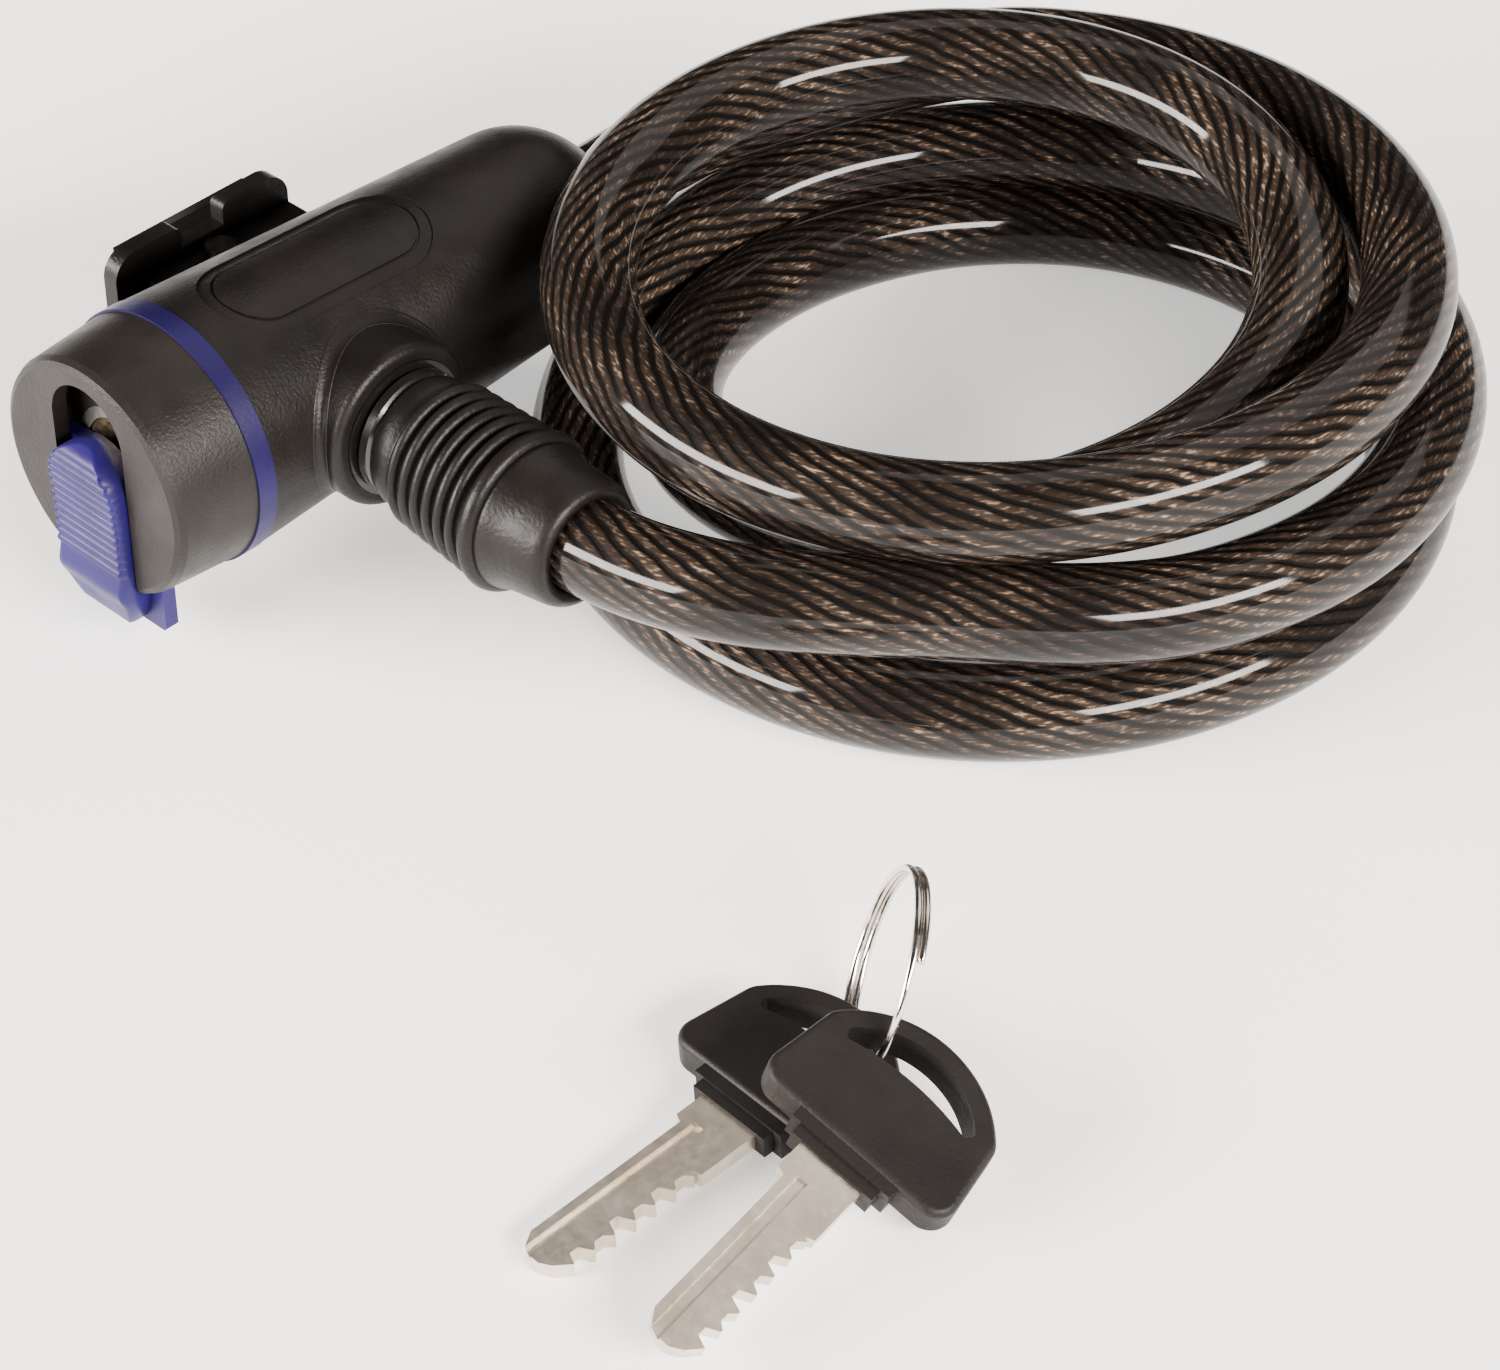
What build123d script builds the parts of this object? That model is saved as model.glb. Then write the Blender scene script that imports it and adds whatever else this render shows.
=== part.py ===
"""Cable lock for a bicycle: key lock housing, plug and socket, coiled cable, frame bracket, keys.

Everything is modelled in the lock's own axes: +X runs along the housing towards the cable exit,
+Y points to the frame bracket, +Z is up, z = 0 is the surface it lies on and x = 0 is the joint
between the front cap and the accent ring. At the end every piece is moved so that the origin is
the middle of the footprint of the lock, bracket and keys.
"""
import os
from math import cos, pi, radians, sin, tan

from build123d import *

# ---- driving dimensions, in millimetres ----
CABLE_D = 12.0
AXIS_Z = 24.0            # height of the housing and plug axes
RING_R = 17.0            # accent ring, and the wide end of the housing
RING_LENGTH = 2.8
RING_PROUD = 0.1
CAP_LENGTH = 11.7
CAP_FACE_R = 15.8
TAPER_X = 60.0           # where the housing's taper ends and its dome starts
TAPER_R = 14.1
DOME_X = 71.0            # flat end of the housing, where the cable comes out
DOME_R = 7.6
CROWN = (67.4, 11.6)     # point on the dome, as x and radius
CORE_R = 12.0
CORE_CLEARANCE = 0.2
CORE_END_X = 37.8
SHOULDER_X = 41.5        # the cable anchor's flange seats here
ANCHOR_R = 8.8
ANCHOR_END_X = 57.6
LEAD_START_X = 45.0      # where the cable starts inside the anchor
ROLL_PIN_X = 33.0
ROLL_PIN_R = 1.25
BADGE_RECESS = 0.5       # depth of the badge's seat in the housing
CAP_SLOT_X = -9.0        # how far back the slider's slot goes in the cap
CAP_POCKET_X = -9.5      # the wider pocket for the slider's guide starts here
CAP_POCKET_HALF = 8.6

SOCKET_X = 21.3          # axis of the plug, across the housing
BOSS_R = 11.0
SOCKET_DEPTH_Y = -8.0    # floor of the socket's bore
SOCKET_BORE = 9.05
BOSS_FACE = 19.4         # distance of the boss's mouth from the housing axis
PIN_R = 4.0
PIN_TIP_Y = 8.0
GROOVE_Y = 3.4           # middle of the pin's locking groove
GROOVE_WIDTH = 3.4
GROOVE_R = 2.2
RUNNING = 0.06           # radial clearance of a running fit
COLLAR_END = 53.0        # distance of the plug's end from the housing axis
PIN_SHANK_END = 26.4
FLANGE_Y = 20.0          # inner face of the plug's sealing ring
FERRULE_R = 7.0
FOLD_COUNT = 6
FOLD_FIRST = 28.4        # middle of the first fold
FOLD_PITCH = 2.15
FOLD_R = 9.4
FOLD_GROWTH = 0.14       # each fold is this much larger than the one before
FOLD_DEPTH = 1.3
FOLD_END = FOLD_FIRST + FOLD_PITCH * FOLD_COUNT

CYLINDER_R = 6.0
CYLINDER_FRONT_X = -7.1
CYLINDER_REAR_X = 9.0
SHELL_R = 7.6
PIN_COUNT = 5
PIN_PITCH = 2.6
PIN_FIRST_X = -4.2
PIN_X = [PIN_FIRST_X + PIN_PITCH * i for i in range(PIN_COUNT)]
CHAMBER_R = 1.05
PIN_BODY_R = 1.0
RIDGE_HALF = 2.4         # ridge over the cylinder that holds the pin chambers
RIDGE_TOP = AXIS_Z + 11.2
SCREW_Y = (-8.6, 8.6)
SCREW_Z = AXIS_Z - 6.0
SCREW_R = 1.2
KEYWAY_HALF = 1.15
SHELL_GAP = 0.1
CAVITY_R = 6.4           # room for the cam in the core
CAM_E = 1.41             # throw of the cam's driving pin
LATCH_X0 = CYLINDER_REAR_X + 2.6
LATCH_X1 = LATCH_X0 + 2.2
LATCH_HALF = 5.5
LATCH_BOTTOM = AXIS_Z - 8.0
ARM_HALF = 1.3
ARM_REACH = 3.0          # how far the latch's arm goes past the plug's axis
SPRING_X = SOCKET_X - 1.5
NOSE_TOP = AXIS_Z - PIN_R - 0.35
SPRING_FLOOR = AXIS_Z - 10.6

SLIDER_HALF = 6.1        # half width of the dust slider's thumb pad
SLIDER_TOP = 29.4
SLIDER_BOTTOM = 4.0
SLIDER_BACK_TOP = 26.4   # its guide ends lower, so that the keyway shows over it
SLIDER_BACK_HALF = 8.3
GUIDE_X = -9.3
SLIDER_PROUD = 2.2
SLIDER_RIBS = 10
RIB_PITCH = 1.75
SLOT_TOP = 37.3          # crown of the arched slot in the cap
SLIDER_GAP = 0.3

BADGE_X = 24.0
BADGE_LENGTH = 34.0
BADGE_WIDTH = 14.6
PAD_LENGTH = 30.0        # raised pad inside the badge's border
PAD_WIDTH = 10.6
BADGE_TILT = 8.0         # degrees, from the top towards the plug's side

COIL_X = 85.5            # middle of the coil
COIL_Y = -57.7
COIL_INNER_R = 31.0
COIL_OUTER_R = 62.0
COIL_BOTTOM = 0.0
COIL_TOP = 43.6
LEAD_ROUTE = [(LEAD_START_X, 0, AXIS_Z), (DOME_X, 0, AXIS_Z), (84.0, -0.6, 25.0),
              (97.0, -3.2, 26.6), (109.0, -9.0, 28.2)]
TAIL_ROUTE = [(SOCKET_X, -COLLAR_END, AXIS_Z), (SOCKET_X, -63.0, AXIS_Z), (23.6, -75.4, 24.3),
              (30.6, -85.8, 24.7), (40.4, -94.4, 25.0)]

BRACKET_X = 29.0         # middle of the frame bracket
SADDLE_X0 = 18.6         # the saddle is shorter than the wall with the two ears
SADDLE_X1 = 42.6
EAR_X0 = 13.6
EAR_X1 = 42.6
RAIL_HALF = 13.0
RAIL_SCREW_X = (BRACKET_X - 8, BRACKET_X + 8)
RAIL_Z = AXIS_Z - 4.0
RAIL_STEM = 1.5          # half heights of the rail's stem and head
RAIL_HEAD = 4.0
RAIL_HEAD_Y = (18.6, 20.4)
RAIL_GAP = 0.3
TUBE_R = 14.5            # seat for a 28.6 mm frame tube, with its liner in
LINER = 1.2
TUBE_Y = 41.0
TUBE_Z = 13.2
EAR_Y = 26.0
EAR_THICK = 2.4
BRACKET_SCREW_Y = 22.6
EAR_TOP = 31.0
EAR_FOOT = 26.0
STRIP_TOP = 27.8
EAR_WIDTH = 11.0

KEY_THICK = 2.0
HEAD_THICK = 4.6
HEAD_WIDTH = 26.6
HEAD_DEPTH = 17.7
HEAD_SIDE = (11.6, 11.7)    # where a side of the head meets its arc
SLOT_END = (10.4, 9.0)
SLOT_INNER = 11.0
SLOT_OUTER = 15.3
BLADE_LENGTH = 31.0
BLADE_BACK = 3.1
BLADE_LOW = 3.7
ROOT_HALF = 4.2
BACK_SHOULDER = 6.6      # from the head to the shoulder on the blade's back
BITTING_END = 11.0
CUT_DEPTHS = (1.5, 0.8, 1.7, 1.1, 1.5, 0.9)
KEY_A = dict(x=-19.1, y=-115.9, heading=176.5, root_z=3.2, pitch=4.0, roll=0.0)
KEY_B = dict(x=-20.0, y=-131.0, heading=184.8, root_z=7.2, pitch=5.5, roll=21.0)
SPLIT_R = 11.5
SPLIT_CENTRE = (0.34, -118.29, 11.99)
SPLIT_NORMAL = (0.645, -0.694, -0.321)
SPLIT_BAND = (1.05, 1.8)

parts = {}


# ---- small helpers ----
def along_x(radius, x0, x1, y=0.0, z=AXIS_Z):
    """Round bar on a line parallel to X."""
    bar = Cylinder(radius, x1 - x0, align=(Align.CENTER, Align.CENTER, Align.MIN))
    return Pos(x0, y, z) * Rot(0, 90, 0) * bar


def along_y(radius, y0, y1, x=SOCKET_X, z=AXIS_Z):
    """Round bar on a line parallel to Y, from y0 up to y1."""
    bar = Cylinder(radius, y1 - y0, align=(Align.CENTER, Align.CENTER, Align.MIN))
    return Pos(x, y0, z) * Rot(-90, 0, 0) * bar


def along_z(radius, z0, z1, x, y):
    bar = Cylinder(radius, z1 - z0, align=(Align.CENTER, Align.CENTER, Align.MIN))
    return Pos(x, y, z0) * bar


def block(x0, x1, y0, y1, z0, z1):
    box = Box(x1 - x0, y1 - y0, z1 - z0, align=(Align.MIN, Align.MIN, Align.MIN))
    return Pos(x0, y0, z0) * box


def turned_x(points):
    """Solid of revolution about the housing axis from (x, radius) points."""
    outline = Polyline([(x, r) for x, r in points], close=True)
    return Pos(0, 0, AXIS_Z) * revolve(make_face(outline), axis=Axis.X)


def turned_plug(points):
    """Solid of revolution about the plug axis from (distance from the housing axis, radius) points."""
    outline = Polyline([(r, -d) for d, r in points], close=True)
    return Pos(SOCKET_X, 0, AXIS_Z) * revolve(make_face(outline), axis=Axis.Y)


# ---- housing ----
def housing_body(grow=0.0, start=RING_LENGTH, end=DOME_X):
    """The tapered outer body with its domed end, grown outwards by the given amount."""
    wide = Vector(start, RING_R + grow)
    taper = Vector(TAPER_X, TAPER_R + grow)
    crown = Vector(CROWN[0], CROWN[1] + grow)
    nose = Vector(end + grow, DOME_R + grow)
    with BuildLine() as outline:
        Line(wide, taper)
        ThreePointArc(taper, crown, nose)
        Line(nose, (end + grow, 0))
        Line((end + grow, 0), (start, 0))
        Line((start, 0), wide)
    return Pos(0, 0, AXIS_Z) * revolve(make_face(outline.line), axis=Axis.X)


def badge_outline(length, width):
    """Upright oblong bar, long way along X, tilted with the badge."""
    ends = SlotOverall(length, width)
    bar = extrude(ends, amount=RING_R + 10)
    return Pos(BADGE_X, 0, AXIS_Z) * Rot(BADGE_TILT, 0, 0) * bar


def make_housing():
    body = housing_body()
    body += along_y(BOSS_R, -BOSS_FACE, 0)
    mouth = body.edges().filter_by(GeomType.CIRCLE).filter_by_position(Axis.Y, -BOSS_FACE, -BOSS_FACE)
    body = fillet(mouth, 1.2)
    body -= along_x(CORE_R + CORE_CLEARANCE, RING_LENGTH - 1, SHOULDER_X)
    body -= along_x(ANCHOR_R + CORE_CLEARANCE, SHOULDER_X - 1, ANCHOR_END_X + 0.4)
    body -= along_x(CABLE_D / 2 + 0.25, 50.0, DOME_X + 5)
    body -= along_y(SOCKET_BORE, -BOSS_FACE - 1, SOCKET_DEPTH_Y)
    inset = housing_body() - housing_body(grow=-BADGE_RECESS)
    body -= inset & badge_outline(BADGE_LENGTH, BADGE_WIDTH)
    body -= along_z(ROLL_PIN_R + 0.05, 0, AXIS_Z - 8, ROLL_PIN_X, 0)
    for x in RAIL_SCREW_X:
        body -= along_y(1.1, 10, 18, x, RAIL_Z)
    return body


def make_badge():
    """Blank oblong badge: a sunk border, a groove, and a pad that stands level with the body."""
    border = housing_body(grow=-0.22) - housing_body(grow=-BADGE_RECESS)
    border &= badge_outline(BADGE_LENGTH - 0.2, BADGE_WIDTH - 0.2)
    border -= badge_outline(PAD_LENGTH + 0.7, PAD_WIDTH + 0.7)
    floor = housing_body(grow=-0.4) - housing_body(grow=-BADGE_RECESS)
    floor &= badge_outline(PAD_LENGTH + 0.8, PAD_WIDTH + 0.8)
    pad = housing_body(grow=-0.05) - housing_body(grow=-BADGE_RECESS)
    pad &= badge_outline(PAD_LENGTH, PAD_WIDTH)
    return border + floor + pad


def make_accent_ring():
    ring = along_x(RING_R + RING_PROUD, 0, RING_LENGTH)
    return ring - along_x(CORE_R + 0.4, -1, RING_LENGTH + 1)


def slot_prism(half, top, bottom, x0, x1):
    """Upright arched prism: straight sides with a half round top."""
    with BuildSketch(Plane.YZ) as shape:
        with BuildLine():
            Line((-half, bottom), (half, bottom))
            Line((half, bottom), (half, top - half))
            ThreePointArc((half, top - half), (0, top), (-half, top - half))
            Line((-half, top - half), (-half, bottom))
        make_face()
    return Pos(x0, 0, 0) * extrude(shape.sketch, amount=x1 - x0)


def make_front_cap():
    cap = turned_x([(0, 0), (0, RING_R - 0.2), (-CAP_LENGTH + 1.2, CAP_FACE_R + 0.25),
                    (-CAP_LENGTH + 0.35, CAP_FACE_R - 0.15), (-CAP_LENGTH, CAP_FACE_R - 0.9),
                    (-CAP_LENGTH, 0)])
    cap -= slot_prism(SLIDER_HALF + SLIDER_GAP, SLOT_TOP, 0, -CAP_LENGTH - 1, CAP_SLOT_X)
    pocket_end = CYLINDER_FRONT_X - 0.1
    cap -= slot_prism(CAP_POCKET_HALF, SLOT_TOP + 1.0, 0, CAP_POCKET_X, pocket_end)
    cap -= along_x(SHELL_R, -8, 1)
    cap -= block(-8, 1, -RIDGE_HALF, RIDGE_HALF, AXIS_Z, RIDGE_TOP + 0.7)
    for y in SCREW_Y:
        cap -= along_x(SCREW_R + 0.05, -5.0, 1, y, SCREW_Z)
    return cap


def make_cap_screws():
    end = CYLINDER_REAR_X - 0.1
    screws = [along_x(SCREW_R, -4.9, end, y, SCREW_Z) for y in SCREW_Y]
    return Compound(children=screws)


# ---- lock cylinder, pins and cam ----
def make_cylinder_shell():
    shell = along_x(SHELL_R, CYLINDER_FRONT_X, CYLINDER_REAR_X)
    shell += block(CYLINDER_FRONT_X, CYLINDER_REAR_X, -RIDGE_HALF, RIDGE_HALF, AXIS_Z, RIDGE_TOP)
    shell -= along_x(CYLINDER_R + RUNNING, CYLINDER_FRONT_X - 1, CYLINDER_REAR_X + 1)
    for x in PIN_X:
        shell -= along_z(CHAMBER_R, AXIS_Z + 4, RIDGE_TOP + 1, x, 0)
    return shell


def make_lock_cylinder():
    plug = along_x(CYLINDER_R, CYLINDER_FRONT_X, CYLINDER_REAR_X)
    plug = chamfer(plug.edges().group_by(Axis.X)[0], 0.4)
    plug -= block(CYLINDER_FRONT_X - 1, CYLINDER_REAR_X - 1.5, -KEYWAY_HALF, KEYWAY_HALF,
                  AXIS_Z - 4.6, AXIS_Z + 3.2)
    plug += along_x(2.2, CYLINDER_REAR_X, CYLINDER_REAR_X + 0.4)
    for x in PIN_X:
        plug -= along_z(CHAMBER_R, AXIS_Z + 1.5, AXIS_Z + CYLINDER_R + 1, x, 0)
    return plug


def pin_stack(z0, z1, radius=PIN_BODY_R):
    return Compound(children=[along_z(radius, AXIS_Z + z0, AXIS_Z + z1, x, 0) for x in PIN_X])


def make_pin_springs():
    springs = []
    for x in PIN_X:
        tube = along_z(0.95, AXIS_Z + 8.2, RIDGE_TOP, x, 0)
        springs.append(tube - along_z(0.6, AXIS_Z + 8.0, RIDGE_TOP + 1, x, 0))
    return Compound(children=springs)


def make_pin_cover():
    return block(PIN_X[0] - 2, PIN_X[-1] + 2, -2.0, 2.0, RIDGE_TOP, RIDGE_TOP + 0.6)


def make_cam():
    cam_x = CYLINDER_REAR_X + 0.4
    cam = along_x(5.2, cam_x, cam_x + 1.8)
    start = radians(-45)
    cam += along_x(1.1, cam_x + 1.8, cam_x + 4.4, CAM_E * cos(start), AXIS_Z + CAM_E * sin(start))
    return cam


# ---- latch ----
def make_latch():
    plate = block(LATCH_X0, LATCH_X1, -LATCH_HALF, LATCH_HALF, LATCH_BOTTOM, AXIS_Z + 1.2)
    slot_z = AXIS_Z - CAM_E * sin(radians(45))
    plate -= block(LATCH_X0 - 1, LATCH_X1 + 1, -3.4, 3.4, slot_z - 1.35, slot_z + 1.35)
    end = SOCKET_X + ARM_REACH
    y0 = GROOVE_Y - ARM_HALF
    y1 = GROOVE_Y + ARM_HALF
    arm = block(LATCH_X0, end, y0, y1, LATCH_BOTTOM, NOSE_TOP - 1.2)
    nose = block(SOCKET_X - 3.4, end, y0, y1, LATCH_BOTTOM, NOSE_TOP)
    return plate + arm + nose


def make_latch_spring():
    """Compression spring under the latch's arm."""
    wire_r = 0.3
    coil_r = 1.3
    height = 2.4
    path = Helix(pitch=0.8, height=height - 2 * wire_r, radius=coil_r)
    section = Plane(origin=path @ 0, z_dir=path % 0) * Circle(wire_r)
    spring = sweep(section, path=path)
    return Pos(SPRING_X, GROOVE_Y, SPRING_FLOOR + wire_r + 0.05) * spring


def make_core_frame():
    core = along_x(CORE_R, RING_LENGTH + 0.2, CORE_END_X)
    shell_end = CYLINDER_REAR_X + SHELL_GAP
    ridge_half = RIDGE_HALF + SHELL_GAP
    core -= along_x(SHELL_R, 0, shell_end)
    core -= block(0, shell_end, -ridge_half, ridge_half, AXIS_Z, AXIS_Z + CORE_R + 1)
    core -= along_x(CAVITY_R, CYLINDER_REAR_X, LATCH_X1 + 0.6)
    core -= block(LATCH_X0 - 0.3, LATCH_X1 + 0.3, -LATCH_HALF - 0.3, LATCH_HALF + 0.3,
                  LATCH_BOTTOM - 0.3, AXIS_Z + 3.6)
    core -= block(LATCH_X0, SOCKET_X + ARM_REACH + 0.4, GROOVE_Y - ARM_HALF - 0.3,
                  GROOVE_Y + ARM_HALF + 0.3, SPRING_FLOOR, AXIS_Z)
    core -= along_z(1.8, SPRING_FLOOR, LATCH_BOTTOM, SPRING_X, GROOVE_Y)
    core -= along_y(PIN_R + RUNNING, -CORE_R - 1, PIN_TIP_Y + 0.6)
    core -= along_y(SOCKET_BORE, -CORE_R - 1, SOCKET_DEPTH_Y)
    for y in SCREW_Y:
        core -= along_x(SCREW_R + 0.05, 0, CYLINDER_REAR_X, y, SCREW_Z)
    core -= along_z(ROLL_PIN_R + 0.05, AXIS_Z - CORE_R - 1, AXIS_Z - 8, ROLL_PIN_X, 0)
    for x in RAIL_SCREW_X:
        core -= along_y(1.1, 8, 18, x, RAIL_Z)
    return core


def make_roll_pin():
    tube = along_z(ROLL_PIN_R, AXIS_Z - 15.2, AXIS_Z - 8.2, ROLL_PIN_X, 0)
    tube -= along_z(ROLL_PIN_R - 0.5, AXIS_Z - 16, AXIS_Z - 8, ROLL_PIN_X, 0)
    return tube


def make_socket_ring():
    ring = along_y(SOCKET_BORE - 0.05, -BOSS_FACE - 0.4, SOCKET_DEPTH_Y - 0.2)
    ring -= along_y(PIN_R + RUNNING, -BOSS_FACE - 2, -7)
    return ring


def make_cable_anchor():
    anchor = along_x(CORE_R - 0.1, CORE_END_X + 0.1, SHOULDER_X)
    anchor += along_x(ANCHOR_R, SHOULDER_X, ANCHOR_END_X)
    anchor -= along_x(CABLE_D / 2, LEAD_START_X, ANCHOR_END_X + 2)
    return anchor


# ---- dust slider ----
def make_dust_slider():
    """Ribbed thumb pad outside the cap, with a guide behind the cap's face."""
    half = SLIDER_HALF
    front = -CAP_LENGTH - SLIDER_PROUD
    face = -CAP_LENGTH - 0.2
    pad = slot_prism(half, SLIDER_TOP, SLIDER_BOTTOM, front, face)
    pad = fillet(pad.edges().group_by(Axis.X)[0], 0.7)
    for i in range(SLIDER_RIBS):
        z = SLIDER_TOP - 3.6 - RIB_PITCH * i
        pad += block(front - 0.35, front + 0.4, -half + 1.0, half - 1.0, z - 0.45, z + 0.45)
    web = block(face, GUIDE_X, -half, half, SLIDER_BOTTOM, SLIDER_BACK_TOP)
    back = block(GUIDE_X, CYLINDER_FRONT_X - 0.25, -SLIDER_BACK_HALF, SLIDER_BACK_HALF,
                 SLIDER_BOTTOM - 0.6, SLIDER_BACK_TOP)
    return pad + web + back


# ---- plug on the cable's end ----
def make_lock_pin():
    tip = -PIN_TIP_Y
    groove = -GROOVE_Y
    half = GROOVE_WIDTH / 2
    return turned_plug([(tip, 0), (tip, PIN_R - 1.2), (tip + 1.2, PIN_R), (groove - half, PIN_R),
                        (groove - half, GROOVE_R), (groove + half, GROOVE_R), (groove + half, PIN_R),
                        (PIN_SHANK_END, PIN_R), (PIN_SHANK_END, 0)])


def make_plug_flange():
    """Glossy ring that seals the mouth of the boss."""
    rim = FLANGE_Y + 2.2
    return turned_plug([(FLANGE_Y, PIN_R + 0.02), (FLANGE_Y, 7.6), (FLANGE_Y + 0.5, 8.3),
                        (rim - 0.5, 8.3), (rim, 7.8), (rim, PIN_R + 0.02)])


def make_pin_ferrule():
    start = FLANGE_Y + 3.9
    end = FOLD_END + 2.0
    step = PIN_SHANK_END + 0.2
    return turned_plug([(start, PIN_R), (start, FERRULE_R), (end, FERRULE_R), (end, CABLE_D / 2),
                        (step, CABLE_D / 2), (step, PIN_R)])


def make_plug_cable():
    """The end of the cable that sits inside the ferrule and the collar."""
    return along_y(CABLE_D / 2, -COLLAR_END, -PIN_SHANK_END - 0.2)


def make_bellows():
    """Rubber sleeve: a smooth neck, rounded folds and an end ring."""
    inner = FERRULE_R + 0.1
    neck = FLANGE_Y + 2.3
    outline = [(neck, PIN_R + 0.02), (neck, 7.6), (neck + 0.8, 8.5), (FOLD_FIRST - 1.2, 8.9)]
    for i in range(FOLD_COUNT):
        middle = FOLD_FIRST + FOLD_PITCH * i
        crest = FOLD_R + FOLD_GROWTH * i
        outline += [(middle - 0.95, crest - FOLD_DEPTH), (middle - 0.45, crest), (middle + 0.45, crest)]
    outline += [(FOLD_END - 0.95, 9.0), (FOLD_END - 0.6, 10.2), (FOLD_END, 10.5),
                (FOLD_END + 1.6, 10.5), (FOLD_END + 2.0, 10.0), (FOLD_END + 2.0, inner),
                (FLANGE_Y + 3.8, inner), (FLANGE_Y + 3.8, PIN_R + 0.02)]
    return turned_plug(outline)


def make_end_collar():
    start = FOLD_END + 2.05
    return turned_plug([(start, CABLE_D / 2 + 0.02), (start, 9.3), (start + 1.6, 8.8),
                        (COLLAR_END - 0.8, 8.3), (COLLAR_END, 7.7), (COLLAR_END, CABLE_D / 2 + 0.02)])


# ---- cable ----
def cord_tube(route):
    """Round tube along straight runs joined by tangent arcs."""
    points = [Vector(*p) for p in route]
    radii = []
    for before, corner, after in zip(points, points[1:], points[2:]):
        turn = radians((corner - before).get_angle(after - corner))
        shorter = min((corner - before).length, (after - corner).length)
        radii.append(0.45 * shorter / tan(turn / 2))
    path = FilletPolyline(points, radius=radii)
    section = Plane(origin=points[0], z_dir=points[1] - points[0]) * Circle(CABLE_D / 2)
    tube = sweep(section, path=path)
    expected = pi * (CABLE_D / 2) ** 2 * path.length
    print("arc radii", [round(r) for r in radii], "volume ratio", round(tube.volume / expected, 4))
    return tube


def make_cable_coil():
    """Outer shape of the wound turns, clear of the housing's end and of the plug's way out."""
    middle_r = (COIL_INNER_R + COIL_OUTER_R) / 2
    height = COIL_TOP - COIL_BOTTOM
    section = Pos(middle_r, (COIL_TOP + COIL_BOTTOM) / 2) * RectangleRounded(
        COIL_OUTER_R - COIL_INNER_R, height, 5.5)
    ring = revolve(Plane.XZ * section, axis=Axis.Z)
    ring = Pos(COIL_X, COIL_Y, 0) * ring
    ring -= housing_body(grow=0.5)
    ring -= along_y(11.0, -100, -10)
    return ring


def make_inner_lead():
    """Lead from the anchor to the coil; its straight start sits in the anchor."""
    return cord_tube(LEAD_ROUTE)


# ---- frame bracket ----
def make_mount_rail():
    """Tee rail on the back of the housing that the bracket slides on."""
    x0 = BRACKET_X - RAIL_HALF
    x1 = BRACKET_X + RAIL_HALF
    near, far = RAIL_HEAD_Y
    foot = block(x0, x1, 12.5, near, RAIL_Z - RAIL_STEM, RAIL_Z + RAIL_STEM)
    foot -= housing_body(grow=0.01)
    rail = foot + block(x0, x1, near, far, RAIL_Z - RAIL_HEAD, RAIL_Z + RAIL_HEAD)
    for x in RAIL_SCREW_X:
        rail -= along_y(1.1, 10, 30, x, RAIL_Z)
        rail -= along_y(2.1, far - 1.2, 30, x, RAIL_Z)
    return rail


def make_rail_screws():
    screws = []
    seat = RAIL_HEAD_Y[1] - 1.15
    for x in RAIL_SCREW_X:
        head = along_y(2.0, seat, seat + 1.05, x, RAIL_Z)
        screws.append(head + along_y(1.05, 13.6, seat, x, RAIL_Z))
    return Compound(children=screws)


def make_ear(x0, x1, outer):
    """Upright plate with a large round on its outer top corner, 0 or 1 along X, and a small one inside."""
    tall = EAR_TOP - EAR_FOOT
    face = Pos((x0 + x1) / 2, EAR_FOOT + tall / 2) * Rectangle(x1 - x0, tall)
    face = fillet(face.vertices().group_by(Axis.Y)[-1].sort_by(Axis.X)[-outer], 3.6)
    face = fillet(face.vertices().group_by(Axis.Y)[-1].sort_by(Axis.X)[outer - 1], 1.2)
    plate = extrude(Plane.XZ * face, amount=EAR_THICK)
    return Pos(0, EAR_Y + EAR_THICK / 2, 0) * plate


def make_bracket_saddle():
    """Seat for the frame tube, a track for the rail, and a low wall with two ears."""
    x0, x1 = SADDLE_X0, SADDLE_X1
    body = block(x0, x1, 14.0, 33.2, 1.4, EAR_FOOT)
    body += block(EAR_X0, EAR_X1, EAR_Y - EAR_THICK / 2, EAR_Y + EAR_THICK / 2, EAR_FOOT - 5, EAR_FOOT)
    body += block(EAR_X0, EAR_X1, 20.9, EAR_Y, EAR_FOOT - 5, EAR_FOOT - 2.6)
    body -= along_x(TUBE_R + LINER, EAR_X0 - 1, x1 + 1, TUBE_Y, TUBE_Z)
    body -= housing_body(grow=0.5, start=-1)
    near, far = RAIL_HEAD_Y
    stem = RAIL_STEM + RAIL_GAP
    head = RAIL_HEAD + RAIL_GAP
    body -= block(x0 - 9, x1 + 1, 12, near + RAIL_GAP, RAIL_Z - stem, RAIL_Z + stem)
    body -= block(x0 - 9, x1 + 1, near - RAIL_GAP, far + RAIL_GAP, RAIL_Z - head, RAIL_Z + head)
    body += make_ear(EAR_X0, EAR_X0 + EAR_WIDTH, 0)
    body += make_ear(EAR_X1 - EAR_WIDTH, EAR_X1, 1)
    body += block(EAR_X0 + 4, EAR_X1 - 4, EAR_Y - EAR_THICK / 2, EAR_Y + EAR_THICK / 2,
                  EAR_FOOT, STRIP_TOP)
    body -= along_z(1.15, EAR_FOOT - 6.5, EAR_FOOT + 1, BRACKET_X, BRACKET_SCREW_Y)
    return body


def make_bracket_screw():
    head = along_z(2.0, EAR_FOOT, EAR_FOOT + 1.2, BRACKET_X, BRACKET_SCREW_Y)
    return head + along_z(1.1, EAR_FOOT - 6.0, EAR_FOOT, BRACKET_X, BRACKET_SCREW_Y)


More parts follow.
